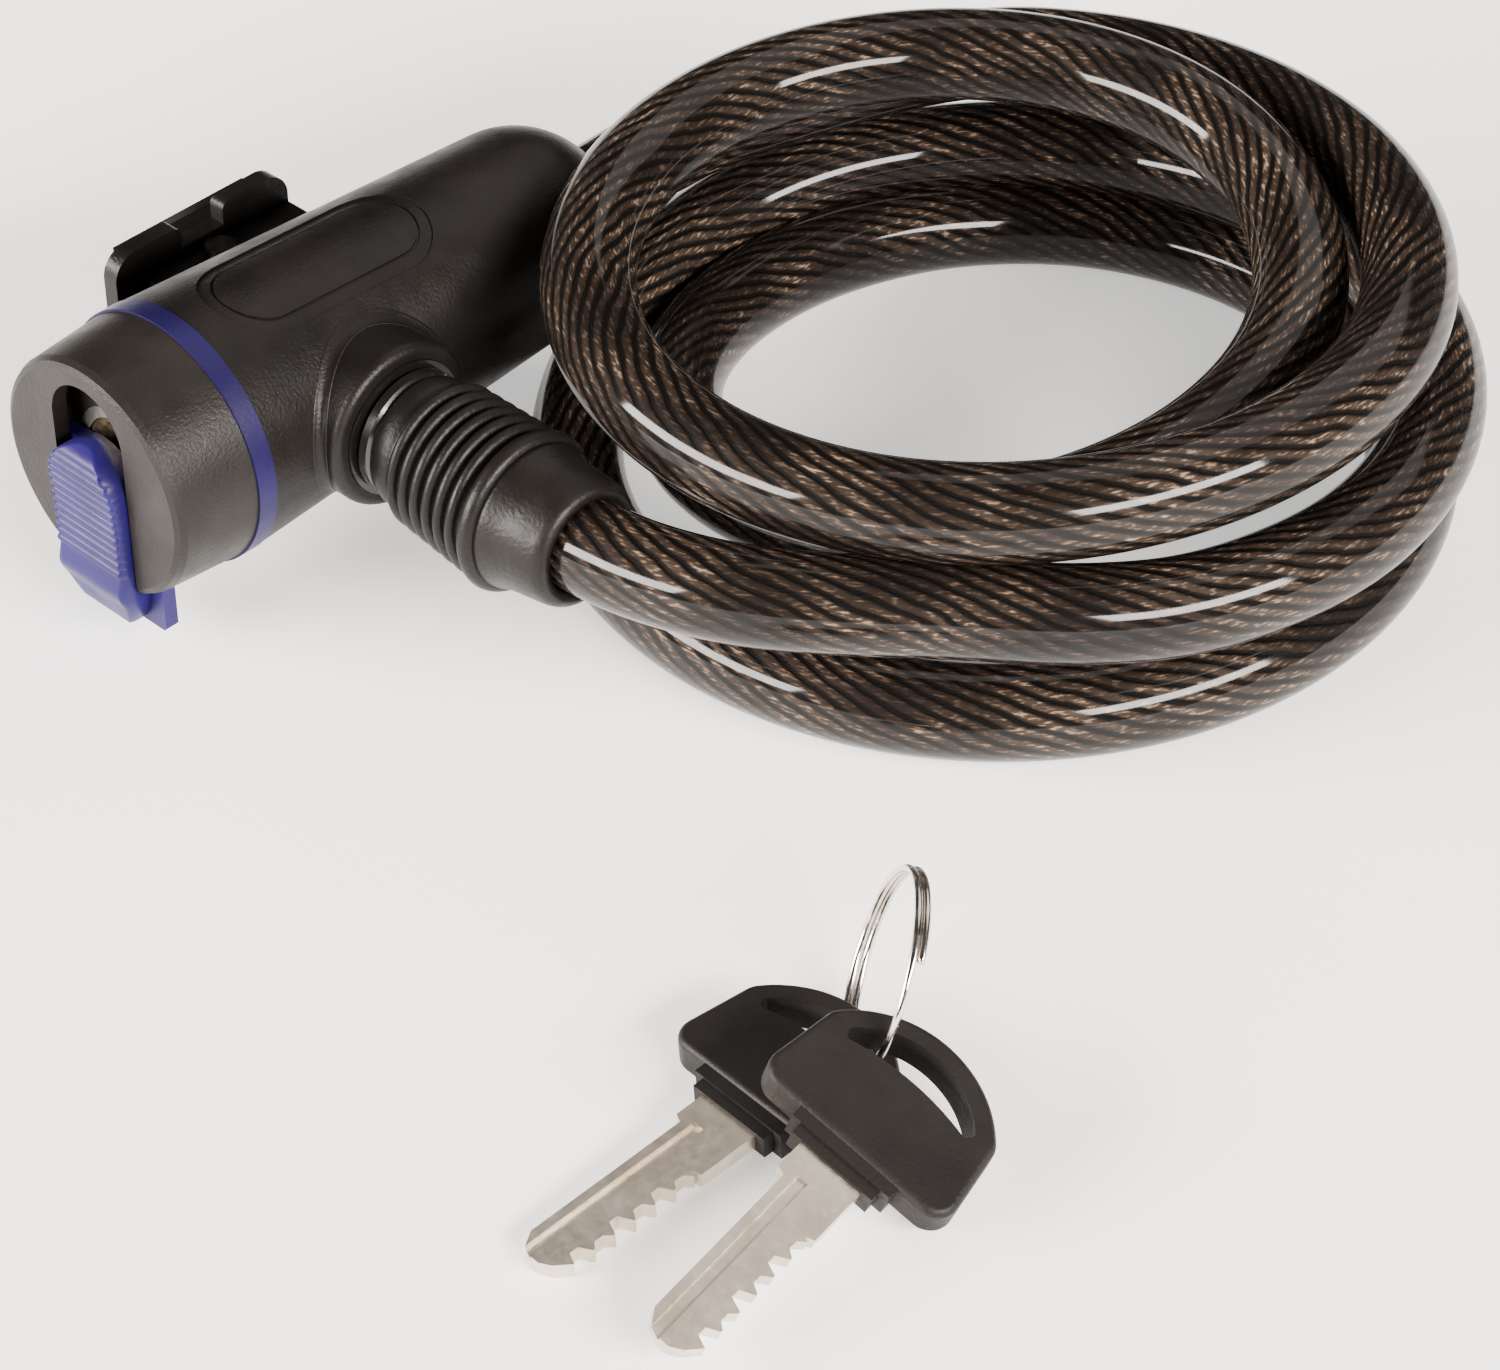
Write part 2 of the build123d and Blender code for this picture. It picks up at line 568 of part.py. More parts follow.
def make_bracket_liner():
    x0 = SADDLE_X0 + 1
    x1 = SADDLE_X1 - 1
    liner = along_x(TUBE_R + LINER - 0.02, x0, x1, TUBE_Y, TUBE_Z)
    liner -= along_x(TUBE_R, x0 - 1, x1 + 1, TUBE_Y, TUBE_Z)
    reach = (TUBE_R + LINER) * cos(radians(58))
    return liner & block(x0 - 1, x1 + 1, 20, TUBE_Y - reach, 0, 40)


# ---- keys, in their own axes: blade towards -X, head towards +X, flat in Z ----
def blade_outline():
    """Blade with shoulders near its root, a rounded tip and waves along one edge."""
    tip = -BLADE_LENGTH
    points = [(2.0, ROOT_HALF), (-BACK_SHOULDER, ROOT_HALF), (-BACK_SHOULDER - 0.5, BLADE_BACK),
              (tip + 2.4, BLADE_BACK), (tip + 0.6, 2.0), (tip, 0.6), (tip, -0.8), (tip + 0.8, -2.2)]
    first = tip + 2.6
    pitch = (-BITTING_END - first) / len(CUT_DEPTHS)
    for i, depth in enumerate(CUT_DEPTHS):
        x = first + pitch * i
        points += [(x, -BLADE_LOW), (x + pitch * 0.22, -BLADE_LOW + depth),
                   (x + pitch * 0.62, -BLADE_LOW + depth), (x + pitch * 0.9, -BLADE_LOW)]
    points += [(-BITTING_END, -BLADE_LOW + 0.6), (-BITTING_END + 0.4, -ROOT_HALF), (2.0, -ROOT_HALF)]
    return Polyline(points, close=True)


def make_blade():
    blade = extrude(make_face(blade_outline()), amount=KEY_THICK / 2, both=True)
    middle = (-BLADE_LENGTH - BACK_SHOULDER) / 2
    groove = Pos(middle, 1.2) * Rectangle(BLADE_LENGTH - BACK_SHOULDER + 1, 1.5)
    cut = extrude(groove, amount=0.45)
    return blade - Pos(0, 0, KEY_THICK / 2 - 0.45) * cut - Pos(0, 0, -KEY_THICK / 2) * cut


def head_face():
    """Straight root edge, sides that close in a little, and a broad arc."""
    half = HEAD_WIDTH / 2
    side_x, side_y = HEAD_SIDE
    with BuildSketch() as sketch:
        with BuildLine():
            Line((0, -half), (0, half))
            Line((0, half), (side_x, side_y))
            ThreePointArc((side_x, side_y), (HEAD_DEPTH, 0), (side_x, -side_y))
            Line((side_x, -side_y), (0, -half))
        make_face()
        fillet(sketch.vertices(), 2.8)
    return sketch.sketch


def slot_face():
    """Crescent window that the split ring goes through."""
    x, y = SLOT_END
    with BuildSketch() as sketch:
        with BuildLine():
            ThreePointArc((x + 0.6, -y), (SLOT_OUTER, 0), (x + 0.6, y))
            Line((x + 0.6, y), (x - 0.5, y - 0.7))
            ThreePointArc((x - 0.5, y - 0.7), (SLOT_INNER, 0), (x - 0.5, 0.7 - y))
            Line((x - 0.5, 0.7 - y), (x + 0.6, -y))
        make_face()
        fillet(sketch.vertices(), 0.5)
    return sketch.sketch


def make_head():
    half = HEAD_THICK / 2
    head = extrude(head_face(), amount=half, both=True)
    layers = head.edges().filter_by(Plane.XY).group_by(Axis.Z)
    head = fillet(layers[0] + layers[-1], 0.9)
    head += block(-1.4, 1, -6.8, 6.8, 0.4 - half, half - 0.4)
    head += block(-2.8, 1, -5.6, 5.6, 0.8 - half, half - 0.8)
    head -= extrude(slot_face(), amount=HEAD_THICK, both=True)
    blade_room = extrude(make_face(blade_outline()), amount=KEY_THICK / 2, both=True)
    return head - blade_room


def place_key(shape, x, y, heading, root_z, pitch, roll):
    """Lay a key down: heading is the way its blade points, pitch lifts its head, roll its +Y side."""
    return Pos(x, y, root_z) * Rot(0, 0, heading - 180) * Rot(0, -pitch, 0) * Rot(roll, 0, 0) * shape


def make_split_ring():
    thick, tall = SPLIT_BAND
    section = Pos(SPLIT_R, 0) * Rectangle(thick, tall)
    band = revolve(Plane.XZ * section, axis=Axis.Z)
    plane = Plane(origin=SPLIT_CENTRE, z_dir=SPLIT_NORMAL)
    return plane.location * band


# ---- the assembly ----
CORD_NODES = ("cable_lead", "cable_coil", "cable_tail", "plug_cable", "lock_pin", "plug_flange",
              "pin_ferrule", "bellows_sleeve", "end_collar")


def build_all():
    parts["housing"] = make_housing()
    parts["badge_plate"] = make_badge()
    parts["accent_ring"] = make_accent_ring()
    parts["front_cap"] = make_front_cap()
    parts["cap_screws"] = make_cap_screws()
    parts["core_frame"] = make_core_frame()
    parts["core_roll_pin"] = make_roll_pin()
    parts["socket_ring"] = make_socket_ring()
    parts["cable_anchor"] = make_cable_anchor()
    parts["cylinder_shell"] = make_cylinder_shell()
    parts["driver_pins"] = pin_stack(CYLINDER_R + 0.1, 8.15)
    parts["pin_springs"] = make_pin_springs()
    parts["pin_cover"] = make_pin_cover()
    parts["lock_cylinder"] = make_lock_cylinder()
    parts["key_pins"] = pin_stack(1.6, CYLINDER_R - 0.15)
    parts["cam"] = make_cam()
    parts["latch"] = make_latch()
    parts["latch_spring"] = make_latch_spring()
    parts["dust_slider"] = make_dust_slider()
    parts["lock_pin"] = make_lock_pin()
    parts["plug_flange"] = make_plug_flange()
    parts["pin_ferrule"] = make_pin_ferrule()
    parts["plug_cable"] = make_plug_cable()
    parts["bellows_sleeve"] = make_bellows()
    parts["end_collar"] = make_end_collar()
    parts["cable_lead"] = make_inner_lead()
    parts["cable_tail"] = cord_tube(TAIL_ROUTE)
    parts["cable_coil"] = make_cable_coil()
    parts["mount_rail"] = make_mount_rail()
    parts["rail_screws"] = make_rail_screws()
    parts["bracket_saddle"] = make_bracket_saddle()
    parts["bracket_screw"] = make_bracket_screw()
    parts["bracket_liner"] = make_bracket_liner()
    for letter, pose in (("a", KEY_A), ("b", KEY_B)):
        parts["key_blade_" + letter] = place_key(make_blade(), **pose)
        parts["key_head_" + letter] = place_key(make_head(), **pose)
    parts["split_ring"] = make_split_ring()


def footprint_origin():
    """Middle of the footprint of everything but the cable and its plug, and their lowest height."""
    boxes = [shape.bounding_box() for name, shape in parts.items() if name not in CORD_NODES]
    low = [min(getattr(b.min, axis) for b in boxes) for axis in "XYZ"]
    high = [max(getattr(b.max, axis) for b in boxes) for axis in "XYZ"]
    return ((low[0] + high[0]) / 2, (low[1] + high[1]) / 2, low[2])


if __name__ == "__main__":
    os.makedirs("parts", exist_ok=True)
    build_all()
    x, y, z = footprint_origin()
    print("lock axes' origin in the part's frame:", round(-x, 3), round(-y, 3), round(-z, 3))
    for name, shape in parts.items():
        export_step(Pos(-x, -y, -z) * shape, f"parts/{name}.step")
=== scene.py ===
"""Cable lock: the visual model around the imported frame. Metres, +Z up."""
import math

import bpy
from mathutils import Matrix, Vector


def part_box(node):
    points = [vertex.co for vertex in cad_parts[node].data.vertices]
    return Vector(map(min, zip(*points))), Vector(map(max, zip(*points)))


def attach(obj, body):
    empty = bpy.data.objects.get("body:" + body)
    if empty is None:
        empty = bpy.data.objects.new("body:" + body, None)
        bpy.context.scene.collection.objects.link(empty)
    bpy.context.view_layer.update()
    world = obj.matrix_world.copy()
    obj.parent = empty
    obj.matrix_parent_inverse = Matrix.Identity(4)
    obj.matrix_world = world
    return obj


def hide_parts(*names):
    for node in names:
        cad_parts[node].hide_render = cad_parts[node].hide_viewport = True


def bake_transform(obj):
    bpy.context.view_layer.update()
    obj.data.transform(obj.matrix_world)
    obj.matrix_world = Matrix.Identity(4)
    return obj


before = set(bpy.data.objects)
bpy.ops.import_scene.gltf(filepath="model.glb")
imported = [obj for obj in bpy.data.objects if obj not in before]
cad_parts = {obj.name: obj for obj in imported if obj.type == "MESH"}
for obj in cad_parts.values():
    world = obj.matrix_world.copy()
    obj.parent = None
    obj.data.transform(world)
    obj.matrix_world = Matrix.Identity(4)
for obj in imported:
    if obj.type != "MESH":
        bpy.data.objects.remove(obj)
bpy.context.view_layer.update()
TURN = 2 * math.pi

# Lock axes: +X along the housing to its cable end, x = 0 where the front cap meets the ring,
# y = 0 and z = 24 mm on the housing's axis, z = 0 on the floor.
RING_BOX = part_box("accent_ring")
LOCK_ORIGIN = Vector((RING_BOX[0][0], (RING_BOX[0][1] + RING_BOX[1][1]) / 2, 0.0))
AXIS_Z = 0.024
SOCKET_X = 0.0213


def lock(x, y, z):
    """A point in lock axes, in metres, moved to the row frame."""
    return LOCK_ORIGIN + Vector((x, y, z))


# ---- camera ----
CAMERA_AT = (-0.2712, -0.3555, 0.3578)
CAMERA_PITCH = 49.77
CAMERA_TURN = -46.5
LENS = 108.8


def make_camera():
    data = bpy.data.cameras.new("camera")
    data.lens = LENS
    data.sensor_width = 36.0
    data.sensor_fit = "HORIZONTAL"
    data.clip_start = 0.01
    camera = bpy.data.objects.new("camera", data)
    camera.location = lock(*CAMERA_AT)
    camera.rotation_euler = (math.radians(CAMERA_PITCH), 0, math.radians(CAMERA_TURN))
    bpy.context.collection.objects.link(camera)
    bpy.context.scene.camera = camera


make_camera()


# ---- mesh helpers ----
def mesh_piece(name, points, faces, material, uvs=None, smooth=True):
    """A new mesh object. uvs holds one pair for each corner, in face order."""
    mesh = bpy.data.meshes.new(name)
    mesh.from_pydata([tuple(p) for p in points], [], faces)
    if uvs:
        layer = mesh.uv_layers.new(name="lay")
        for corner, uv in zip(layer.data, uvs):
            corner.uv = uv
    mesh.materials.append(material)
    if smooth:
        mesh.shade_smooth()
    mesh.update()
    piece = bpy.data.objects.new(name, mesh)
    bpy.context.collection.objects.link(piece)
    return piece


def along(line):
    """Distances of a line's points from its start."""
    far = [0.0]
    for a, b in zip(line, line[1:]):
        far.append(far[-1] + (b - a).length)
    return far


def frames(line, hint):
    """Two normals at each point, square to the line and carried along with no twist."""
    found = []
    normal = Vector(hint)
    last = len(line) - 1
    for i in range(len(line)):
        tangent = (line[min(i + 1, last)] - line[max(i - 1, 0)]).normalized()
        normal = (normal - tangent * normal.dot(tangent)).normalized()
        found.append((normal, tangent.cross(normal)))
    return found


def tube_mesh(name, line, axes, far, radius, sides, material, closed_ends=True):
    """A round tube on a line, with UVs of metres along it and turns around it."""
    points = []
    for centre, (n1, n2) in zip(line, axes):
        for k in range(sides):
            a = TURN * k / sides
            points.append(centre + (n1 * math.cos(a) + n2 * math.sin(a)) * radius)
    faces, uvs = [], []
    for i in range(len(line) - 1):
        for k in range(sides):
            right = (k + 1) % sides
            faces.append((i * sides + k, i * sides + right, (i + 1) * sides + right, (i + 1) * sides + k))
            low, high = k / sides, (k + 1) / sides
            uvs += [(far[i], low), (far[i], high), (far[i + 1], high), (far[i + 1], low)]
    if closed_ends:
        for i, step in ((0, -1), (len(line) - 1, 1)):
            ring = [i * sides + k for k in range(sides)][::step]
            faces.append(tuple(ring))
            uvs += [(far[i], 0.0)] * sides
    return mesh_piece(name, points, faces, material, uvs)


def loft(name, loops, material, ring=False):
    """Skin over closed loops of equal length; a ring joins the last loop to the first."""
    count = len(loops[0])
    points = [p for loop in loops for p in loop]
    faces = []
    for i in range(len(loops) if ring else len(loops) - 1):
        after = (i + 1) % len(loops)
        for k in range(count):
            right = (k + 1) % count
            faces.append((i * count + k, i * count + right, after * count + right, after * count + k))
    if not ring:
        faces.append(tuple(reversed(range(count))))
        faces.append(tuple(range(len(points) - count, len(points))))
    return mesh_piece(name, points, faces, material)


def smooth_line(name, points, resolution):
    """Points along an open NURBS spline of order 3 through the control points."""
    curve = bpy.data.curves.new(name, "CURVE")
    curve.dimensions = "3D"
    spline = curve.splines.new("NURBS")
    spline.points.add(len(points) - 1)
    for control, point in zip(spline.points, points):
        control.co = (*point, 1.0)
    spline.order_u = 3
    spline.use_endpoint_u = True
    spline.resolution_u = resolution
    holder = bpy.data.objects.new(name, curve)
    bpy.context.collection.objects.link(holder)
    bpy.context.view_layer.update()
    mesh = bpy.data.meshes.new_from_object(holder)
    line = [v.co.copy() for v in mesh.vertices]
    bpy.data.objects.remove(holder)
    bpy.data.curves.remove(curve)
    bpy.data.meshes.remove(mesh)
    return line


# ---- materials ----
def shader(name, **values):
    """A new material and its tree, with plain values set on the shader's sockets."""
    material = bpy.data.materials.new(name)
    material.use_nodes = True
    tree = material.node_tree
    surface = tree.nodes["Principled BSDF"]
    for key, value in values.items():
        surface.inputs[key.replace("_", " ")].default_value = value
    return material, tree, surface


def node(tree, kind, **settings):
    made = tree.nodes.new(kind)
    for key, value in settings.items():
        setattr(made, key, value)
    return made


def math_node(tree, operation, first, second=None):
    """A Math node; its inputs are sockets or numbers."""
    made = node(tree, "ShaderNodeMath", operation=operation)
    for socket, value in zip(made.inputs, (first, second)):
        if value is None:
            continue
        if isinstance(value, (int, float)):
            socket.default_value = value
        else:
            tree.links.new(value, socket)
    return made.outputs[0]


def noise(tree, scale, detail=3.0, roughness=0.5):
    """Noise in object space, its scale in cells per metre."""
    where = node(tree, "ShaderNodeTexCoord").outputs["Object"]
    made = node(tree, "ShaderNodeTexNoise")
    made.inputs["Scale"].default_value = scale
    made.inputs["Detail"].default_value = detail
    made.inputs["Roughness"].default_value = roughness
    tree.links.new(where, made.inputs["Vector"])
    return made.outputs["Fac"]


def ramp(tree, factor, stops, socket):
    """Colour ramp from (place, colour) stops into a socket."""
    made = node(tree, "ShaderNodeValToRGB")
    elements = made.color_ramp.elements
    while len(elements) < len(stops):
        elements.new(0.5)
    for element, (place, colour) in zip(elements, stops):
        element.position = place
        element.color = (*colour, 1.0)
    tree.links.new(factor, made.inputs["Fac"])
    tree.links.new(made.outputs["Color"], socket)


def spread(tree, factor, low, high, socket):
    """Factor 0.3 to 0.7, which is most of a noise, mapped to low and high."""
    made = node(tree, "ShaderNodeMapRange")
    made.inputs["From Min"].default_value = 0.3
    made.inputs["From Max"].default_value = 0.7
    made.inputs["To Min"].default_value = low
    made.inputs["To Max"].default_value = high
    tree.links.new(factor, made.inputs["Value"])
    tree.links.new(made.outputs["Result"], socket)


def bump(tree, height, distance, socket, strength=1.0):
    made = node(tree, "ShaderNodeBump")
    made.inputs["Strength"].default_value = strength
    made.inputs["Distance"].default_value = distance
    tree.links.new(height, made.inputs["Height"])
    tree.links.new(made.outputs["Normal"], socket)


SHEEN = 0.2              # specular level of the moulded pieces
SCRATCHES = 900.0        # tool marks on metal, in cells per metre, and their depth
SCRATCH_DEPTH = 0.00001


def moulded_plastic(name, dark, light, rough, grain=2300.0, depth=0.00011, coat=0.0):
    """Moulded plastic: a fine sand grain, slight mottling and uneven sheen."""
    material, tree, surface = shader(name, Coat_Weight=coat, Coat_Roughness=0.25, IOR=1.5,
                                     Specular_IOR_Level=SHEEN)
    mottle = noise(tree, 90.0, 4.0)
    ramp(tree, mottle, [(0.35, dark), (0.65, light)], surface.inputs["Base Color"])
    spread(tree, noise(tree, 260.0, 4.0), rough - 0.05, rough + 0.07, surface.inputs["Roughness"])
    bump(tree, noise(tree, grain, 2.0), depth, surface.inputs["Normal"], 0.6)
    return material


def metal(name, dark, light, rough):
    """Metal with fine tool marks and a slightly uneven tone."""
    material, tree, surface = shader(name, Metallic=1.0)
    ramp(tree, noise(tree, 140.0, 5.0), [(0.35, dark), (0.65, light)], surface.inputs["Base Color"])
    marks = noise(tree, SCRATCHES, 3.0, 0.6)
    spread(tree, marks, rough - 0.06, rough + 0.1, surface.inputs["Roughness"])
    bump(tree, marks, SCRATCH_DEPTH, surface.inputs["Normal"], 0.5)
    return material


STRANDS = 20             # bundles of wire around the rope
LAY = 0.085              # metres along the cable for one turn of a bundle
CABLE_R = 0.006


def jacket_noise(tree, length, turn, along_scale, around_scale, detail=2.0):
    """Noise on the cable's skin with its own scale along and around, and no seam."""
    angle = math_node(tree, "MULTIPLY", turn, TURN)
    place = node(tree, "ShaderNodeCombineXYZ")
    reach = around_scale * CABLE_R
    tree.links.new(math_node(tree, "MULTIPLY", length, along_scale), place.inputs[0])
    tree.links.new(math_node(tree, "MULTIPLY", math_node(tree, "COSINE", angle), reach), place.inputs[1])
    tree.links.new(math_node(tree, "MULTIPLY", math_node(tree, "SINE", angle), reach), place.inputs[2])
    made = node(tree, "ShaderNodeTexNoise")
    made.inputs["Scale"].default_value = 1.0
    made.inputs["Detail"].default_value = detail
    tree.links.new(place.outputs[0], made.inputs["Vector"])
    return made.outputs["Fac"]


def step_up(tree, value, low, high):
    """0 below low, 1 above high, smooth between."""
    made = node(tree, "ShaderNodeMapRange", interpolation_type="SMOOTHSTEP")
    made.inputs["From Min"].default_value = low
    made.inputs["From Max"].default_value = high
    tree.links.new(value, made.inputs["Value"])
    return made.outputs["Result"]


def cable_jacket():
    """Steel rope seen dimly through a smoked, glossy jacket: bundles painted lighter on their crowns and
    darker in the grooves between them (painted highlight and painted shade), and short tan wire glints that
    are painted highlights.
    """
    material, tree, surface = shader("cable_jacket", Coat_Weight=0.65, Coat_Roughness=0.08,
                                     Coat_IOR=1.38, IOR=1.3, Roughness=0.6, Specular_IOR_Level=0.1)
    where = node(tree, "ShaderNodeUVMap", uv_map="lay").outputs[0]
    split = node(tree, "ShaderNodeSeparateXYZ")
    tree.links.new(where, split.inputs[0])
    length, turn = split.outputs[0], split.outputs[1]
    wobble = math_node(tree, "MULTIPLY", jacket_noise(tree, length, turn, 110.0, 160.0), 0.55)
    place = math_node(tree, "SUBTRACT", turn, math_node(tree, "DIVIDE", length, LAY))
    place = math_node(tree, "ADD", math_node(tree, "MULTIPLY", place, STRANDS * 0.5), wobble)
    bundle = math_node(tree, "ABSOLUTE", math_node(tree, "SINE", math_node(tree, "MULTIPLY", place, TURN)))
    # Wire marks: they raise a bump on the wires and, in the colour, add tan glints that are painted
    # highlights.
    wire_bump_and_painted_glint = step_up(tree, jacket_noise(tree, length, turn, 760.0, 3000.0), 0.47, 0.74)
    patch = step_up(tree, jacket_noise(tree, length, turn, 70.0, 130.0), 0.3, 0.7)
    # Painted highlight on each bundle's crown and painted shade in the grooves between bundles, scaled by
    # random patches of tone.
    crown_highlight_and_tone = math_node(tree, "MULTIPLY", step_up(tree, bundle, 0.3, 0.98), math_node(tree, "ADD", patch, 0.5))
    painted_light_and_tone = math_node(tree, "ADD", math_node(tree, "MULTIPLY", crown_highlight_and_tone, 0.24),
                      math_node(tree, "MULTIPLY", math_node(tree, "MULTIPLY", crown_highlight_and_tone, wire_bump_and_painted_glint), 0.5))
    # Ramp from painted groove shade, through the rope's dark tone, up to painted tan wire highlights.
    ramp(tree, painted_light_and_tone, [(0.03, (0.0022, 0.0016, 0.0012)), (0.26, (0.0150, 0.0105, 0.0078)),
                       (0.55, (0.050, 0.034, 0.024)), (1.0, (0.20, 0.143, 0.10))],
         surface.inputs["Base Color"])
    height = math_node(tree, "ADD", bundle, math_node(tree, "MULTIPLY", wire_bump_and_painted_glint, 0.4))
    bump(tree, height, 0.00025, surface.inputs["Normal"], 0.6)
    return material


BLACK = moulded_plastic("black_shell", (0.0045, 0.0036, 0.0031), (0.0078, 0.0063, 0.0055), 0.42)
CAP = moulded_plastic("cap_plastic", (0.0085, 0.007, 0.0062), (0.0135, 0.0112, 0.0098), 0.42)
BADGE = moulded_plastic("badge_plastic", (0.0045, 0.0036, 0.0031), (0.0078, 0.0063, 0.0055), 0.38)
BLUE = moulded_plastic("blue_plastic", (0.0100, 0.0055, 0.062), (0.0150, 0.0085, 0.088), 0.4, 1800.0, 0.00004)
RING_BLUE = moulded_plastic("ring_blue", (0.0066, 0.0036, 0.034), (0.0098, 0.0056, 0.050), 0.4,
                            1800.0, 0.00004)
KEY_PLASTIC = moulded_plastic("key_plastic", (0.0062, 0.0053, 0.0047), (0.0105, 0.009, 0.008), 0.5, 2000.0)
BRACKET = moulded_plastic("bracket_plastic", (0.0035, 0.0028, 0.0024), (0.006, 0.0048, 0.0042), 0.38)
RUBBER = moulded_plastic("bellows_rubber", (0.0042, 0.0035, 0.003), (0.0072, 0.006, 0.0052), 0.42, 1700.0)
LINER = moulded_plastic("liner_rubber", (0.015, 0.015, 0.015), (0.025, 0.025, 0.025), 0.7, 1200.0)
GLOSS = moulded_plastic("socket_gloss", (0.004, 0.004, 0.004), (0.006, 0.006, 0.006), 0.1, 600.0, 0.000005,
                        coat=1.0)
ZINC = metal("zinc", (0.34, 0.33, 0.32), (0.45, 0.44, 0.42), 0.42)
BRASS = metal("brass", (0.42, 0.33, 0.2), (0.62, 0.52, 0.36), 0.3)
STEEL = metal("steel", (0.5, 0.49, 0.47), (0.62, 0.61, 0.59), 0.25)
DARK_STEEL = metal("dark_steel", (0.03, 0.028, 0.026), (0.05, 0.047, 0.044), 0.35)
RING_STEEL = metal("ring_steel", (0.72, 0.66, 0.6), (0.86, 0.81, 0.76), 0.16)
KEY_STEEL = metal("key_steel", (0.60, 0.52, 0.43), (0.76, 0.68, 0.58), 0.36)
CABLE = cable_jacket()

MATERIALS = {
    BLACK: ["housing"],
    CAP: ["front_cap"],
    BADGE: ["badge_plate"],
    RING_BLUE: ["accent_ring"],
    BLUE: ["dust_slider"],
    ZINC: ["core_frame", "cable_anchor", "cylinder_shell", "cam", "latch", "pin_cover"],
    BRASS: ["lock_cylinder", "key_pins", "driver_pins"],
    STEEL: ["cap_screws", "core_roll_pin", "pin_springs", "latch_spring", "lock_pin", "rail_screws",
            "pin_ferrule"],
    DARK_STEEL: ["bracket_screw"],
    GLOSS: ["socket_ring", "plug_flange"],
    RUBBER: ["bellows_sleeve", "end_collar"],
    BRACKET: ["mount_rail", "bracket_saddle"],
    LINER: ["bracket_liner"],
    KEY_STEEL: ["key_blade_a", "key_blade_b"],
    KEY_PLASTIC: ["key_head_a", "key_head_b"],
    RING_STEEL: ["split_ring"],
}
for material, names in MATERIALS.items():
    for name in names:
        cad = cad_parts[name]
        cad.data.materials.clear()
        cad.data.materials.append(material)

# ---- housing boss, slider, sleeve and split ring ----
HOUSING_R = (0.0170, 0.0141)     # radius of the housing's taper at its two ends
TAPER_X = (0.0028, 0.0600)
BOSS_R = 0.0110
BLEND = 0.0012                   # reach of the soft corner between boss and housing
SINK = 0.0006                    # how far the corner's hidden back is inside the pieces it joins
SKIN = 0.00003                   # its edges stand this much proud of them


def housing_radius(x):
    share = (x - TAPER_X[0]) / (TAPER_X[1] - TAPER_X[0])
    return HOUSING_R[0] + (HOUSING_R[1] - HOUSING_R[0]) * share


def boss_point(angle, radius, out):
    """A point round the boss's axis, out metres further out than the housing's surface."""
    x = SOCKET_X + radius * math.cos(angle)
    z = radius * math.sin(angle)
    return lock(x, -math.sqrt(housing_radius(x) ** 2 - z * z) - out, AXIS_Z + z)


def make_boss_blend():
    """Concave corner where the round boss grows out of the housing."""
    loops = []
    for k in range(120):
        a = TURN * k / 120
        loop = [boss_point(a, BOSS_R - 0.0004, -SINK)]
        top = boss_point(a, BOSS_R + SKIN, BLEND)
        corner = boss_point(a, BOSS_R + SKIN, 0.0)
        foot = boss_point(a, BOSS_R + BLEND, SKIN)
        for i in range(9):
            t = i / 8
            loop.append(top * (1 - t) ** 2 + corner * 2 * t * (1 - t) + foot * t * t)
        loop.append(boss_point(a, BOSS_R + BLEND, -SINK))
        loops.append(loop)
    blend = loft("boss_blend", loops, BLACK, ring=True)
    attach(blend, "lock_body")


make_boss_blend()

PAD_FRONT = -0.0139              # thumb pad: x of its plain front, half width and ends in z
PAD_BACK = -0.0093
PAD_HALF = 0.0061
PAD_TOP = 0.0292
PAD_BOTTOM = 0.0040
PAD_RIDGES = 12
RIDGED = (0.34, 0.93)            # share of the pad's height that the ridges take
GUIDE_BACK = -0.00735            # the guide plate behind the pad: x of its back, top and half width
GUIDE_TOP = 0.0264
GUIDE_HALF = 0.0083
GUIDE_EDGE = 0.0004


def pad_front(z):
    """How far out the pad's front is: hollow in the middle, ridged above, drawn in at its ends."""
    share = (z - PAD_BOTTOM) / (PAD_TOP - PAD_BOTTOM)
    hollow = 0.0007 * math.sin(math.pi * share)
    foot = 0.0022 * max(0.0, (0.3 - share) / 0.3) ** 1.6
    bulge = 0.0006 * math.exp(-((share - 0.22) / 0.07) ** 2)
    crown = 0.0020 * (max(0.0, share - RIDGED[1]) / (1 - RIDGED[1])) ** 2
    ridge = 0.0
    if RIDGED[0] < share < RIDGED[1]:
        phase = PAD_RIDGES * (share - RIDGED[0]) / (RIDGED[1] - RIDGED[0])
        ridge = 0.00045 * abs(math.sin(math.pi * phase)) ** 0.7
    return PAD_FRONT + hollow + foot - bulge + crown - ridge


def pad_half(z):
    """Half width of the pad: straight sides, a half round top and a rounded foot."""
    rise = z - (PAD_TOP - PAD_HALF)
    if rise > 0:
        return math.sqrt(max(PAD_HALF ** 2 - rise * rise, 0.0004 ** 2))
    low = max(0.0, 1 - (z - PAD_BOTTOM) / 0.005)
    return PAD_HALF - 0.0016 * low ** 2


